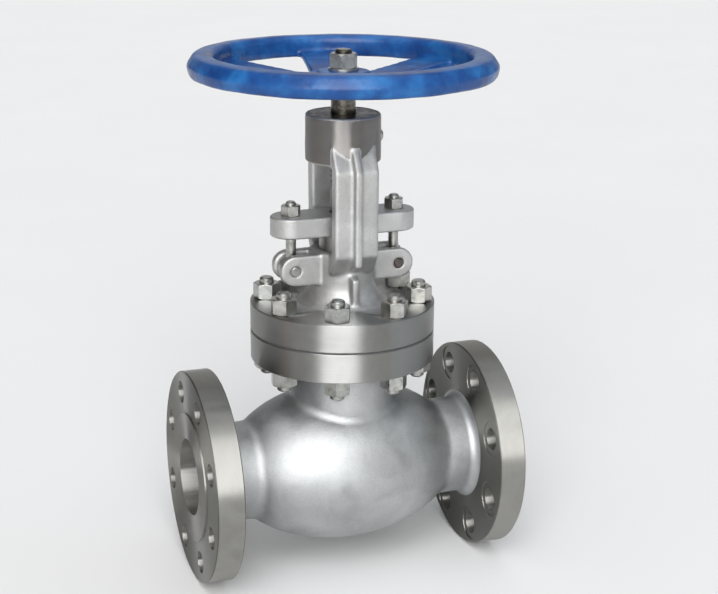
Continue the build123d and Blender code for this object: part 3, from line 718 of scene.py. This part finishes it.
def braided_packing():
    bm = bmesh.new()
    for index in range(PACK_COUNT):
        add_packing_ring(bm, PACK_LOW.z + index * PACK_PITCH)
    mesh = closed_mesh(bm, "packing_braid")
    shade_smooth(mesh)
    return new_object("packing_braid", mesh)


packing = braided_packing()
paint(packing, PACKING)
stand_for(packing, "packing_rings", "pressure_body")
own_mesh(packing)

# ------------------------------------------------------------------------ floor
FLOOR_Z = CAD_LOW.z - 0.5 * MM
FLOOR_HALF = 12.0
FLOOR_CELLS = 8


def add_floor():
    bm = bmesh.new()
    bmesh.ops.create_grid(bm, x_segments=FLOOR_CELLS, y_segments=FLOOR_CELLS, size=FLOOR_HALF)
    floor = new_object("floor", closed_mesh(bm, "floor"))
    floor.location = (STEM_X, 0, FLOOR_Z)
    paint(floor, pale_paper("pale_paper"))


add_floor()

# ----------------------------------------------------------------------- view
# Angles in degrees, distances in metres, lens and sensor in millimetres, shift in sensor widths
VIEW_AZIMUTH = -19.93
VIEW_ELEVATION = 16.64
VIEW_ROLL = 0.50
VIEW_DISTANCE = 1.602
VIEW_CLIP_START = 0.05
LOOK_OFFSET = Vector((0.0198, 0, 0.0134))
VIEW_LENS = 80.86
VIEW_SENSOR = 36
VIEW_SHIFT = -0.0029

# ------------------------------------------------------------------ studio light
# Studio round the valve, by bearing in degrees from the viewer's side of it:
# one broad bright panel behind the viewer, pale walls and darker gaps between them
STUDIO = (
    (-180, (0.70, 0.70, 0.70)),
    (-150, (0.20, 0.20, 0.20)),
    (-100, (0.07, 0.07, 0.07)),
    (-82, (0.12, 0.11, 0.10)),
    (-73, (0.50, 0.32, 0.25)),
    (-64, (0.45, 0.45, 0.44)),
    (-31, (0.62, 0.61, 0.59)),
    (-21, (6.00, 6.00, 6.05)),
    (18, (6.00, 6.05, 6.15)),
    (27, (0.70, 0.69, 0.67)),
    (40, (0.60, 0.59, 0.56)),
    (50, (0.30, 0.30, 0.23)),
    (62, (0.34, 0.35, 0.31)),
    (74, (0.60, 0.66, 0.74)),
    (104, (0.40, 0.45, 0.52)),
    (130, (0.12, 0.13, 0.15)),
    (155, (0.25, 0.25, 0.25)),
    (180, (0.70, 0.70, 0.70)),
)
TOP_LIGHT = (1.35, 1.36, 1.38)

# Sines of the heights between which the walls give way to the light overhead
TOP_STARTS = 0.80
TOP_FULL = 0.94

# The colours go into the nodes divided by this, and the background's strength brings them back
STUDIO_GAIN = 8.0


def studio_world():
    made = bpy.data.worlds.new("studio")
    made.use_nodes = True
    g = Graph(made.node_tree, "Generated")
    x, y, z = g.xyz()
    facing = g.calc("ARCTAN2", x, g.calc("MULTIPLY", y, -1.0))
    bearing = g.calc("WRAP", g.calc("SUBTRACT", facing, math.radians(VIEW_AZIMUTH)), math.pi, -math.pi)
    share = g.calc("ADD", g.calc("DIVIDE", bearing, 2 * math.pi), 0.5)
    stops = [(degrees / 360 + 0.5, tuple(c / STUDIO_GAIN for c in tint)) for degrees, tint in STUDIO]
    overhead = g.scale_range(z, 0.0, 1.0, TOP_STARTS, TOP_FULL, interpolation_type="SMOOTHSTEP")
    top = tuple(c / STUDIO_GAIN for c in TOP_LIGHT)
    sky = made.node_tree.nodes["Background"]
    g.link(g.mix(overhead, g.ramp(share, *stops), top), sky.inputs["Color"])
    sky.inputs["Strength"].default_value = STUDIO_GAIN
    bpy.context.scene.world = made


studio_world()


# ---------------------------------------------------------------------- camera
def add_camera():
    azimuth, elevation = math.radians(VIEW_AZIMUTH), math.radians(VIEW_ELEVATION)
    level = math.cos(elevation)
    back = Vector((math.sin(azimuth) * level, -math.cos(azimuth) * level, math.sin(elevation)))
    data = bpy.data.cameras.new("camera")
    data.lens = VIEW_LENS
    data.sensor_width = VIEW_SENSOR
    data.shift_x = VIEW_SHIFT
    data.clip_start = VIEW_CLIP_START
    camera = new_object("camera", data)
    camera.rotation_mode = "QUATERNION"
    aim = (-back).to_track_quat("-Z", "Y").to_matrix()
    camera.rotation_quaternion = (aim @ Matrix.Rotation(math.radians(VIEW_ROLL), 3, "Z")).to_quaternion()
    camera.location = (CAD_LOW + CAD_HIGH) / 2 + LOOK_OFFSET + back * VIEW_DISTANCE
    bpy.context.scene.camera = camera
    bpy.context.scene.view_settings.view_transform = "Standard"


add_camera()
